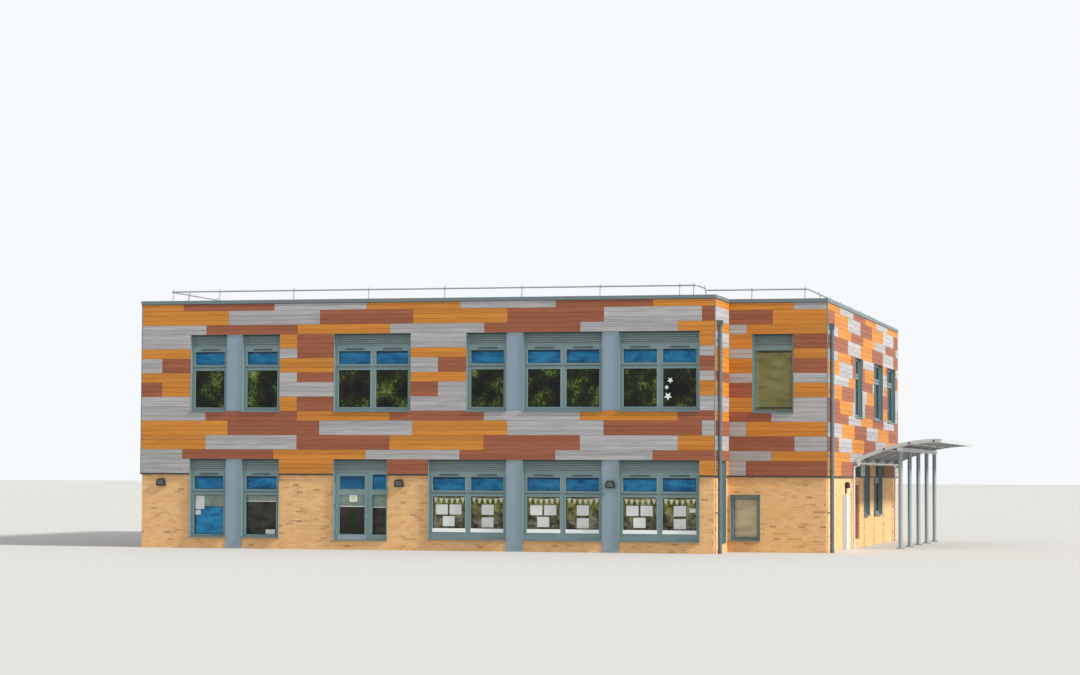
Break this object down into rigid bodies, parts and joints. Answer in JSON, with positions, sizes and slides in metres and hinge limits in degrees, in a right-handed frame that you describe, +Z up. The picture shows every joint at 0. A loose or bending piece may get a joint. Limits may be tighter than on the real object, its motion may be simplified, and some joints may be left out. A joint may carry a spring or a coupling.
{
  "type": "school building",
  "caption": "Two-storey flat-roofed school building, brick below and boarded above, with a curved side canopy and hinged glazed doors.",
  "frame": {"origin": "centre of the bounding box, at the lowest ground", "axes": "+Z up; the main front faces -Y, the right side with the canopy faces +X"},
  "size_m": [24.415, 20.415, 8.1946],
  "materials": {
    "concrete": "cast, floated",
    "brick": "buff facing brick in stretcher bond",
    "boards": "wood-grain boards in orange, red-brown and weathered grey",
    "glass": "clear double glazing",
    "galvanised_tube": "galvanised",
    "coping_metal": "satin powder coat, light grey",
    "grey_metal": "satin powder coat, blue-grey",
    "canopy_sheet": "clear ribbed polycarbonate",
    "gutter_plastic": "satin, light grey",
    "light_housing": "satin black",
    "cupboard_plastic": "moulded, pale grey",
    "stained_boards": "red-brown stain"
  },
  "bodies": {
    "building": {"ground_floor_slab": "concrete", "first_floor_slab": "concrete", "roof_deck": "concrete", "front_brick_piers": "brick", "right_brick_walls": "brick", "rear_brick_walls": "brick", "left_brick_walls": "brick", "window_upstands": "brick", "front_upper_wall": "boards", "return_upper_wall": "boards", "recess_upper_wall": "boards", "right_upper_wall": "boards", "rear_upper_wall": "boards", "left_upper_wall": "boards", "cladding_tabs": "boards", "pier_panels": "grey_metal", "roof_coping": "coping_metal", "front_window_frames": "grey_metal", "right_window_frames": "grey_metal", "back_window_frames": "grey_metal", "front_glass": "glass", "right_glass": "glass", "back_glass": "glass", "window_louvres": "grey_metal", "window_sills": "coping_metal", "door_frames": "grey_metal", "downpipes": "grey_metal", "front_guard_rail": "galvanised_tube", "step_guard_rail": "galvanised_tube", "right_guard_rail": "galvanised_tube", "rear_guard_rail": "galvanised_tube", "left_guard_rail": "galvanised_tube", "canopy_sheets": "canopy_sheet", "canopy_rafters": "grey_metal", "canopy_posts": "grey_metal", "canopy_beams": "grey_metal", "canopy_gutter": "gutter_plastic", "wall_lights": "light_housing", "meter_cupboard": "cupboard_plastic", "store_front": "stained_boards"},
    "class_door": {"class_door": "grey_metal", "class_door_glass": "glass"},
    "return_door": {"return_door": "grey_metal", "return_door_glass": "glass"}
  },
  "joints": [
    {"name": "class_door_hinge", "type": "hinge", "parent": "building", "child": "class_door", "pos_m": [-5.6795, -10.0275, 0.28], "axis": [0, 0, -1], "range_deg": [0, 90]},
    {"name": "return_door_hinge", "type": "hinge", "parent": "building", "child": "return_door", "pos_m": [6.1775, -8.3705, 0.28], "axis": [0, 0, 1], "range_deg": [0, 90]}
  ]
}
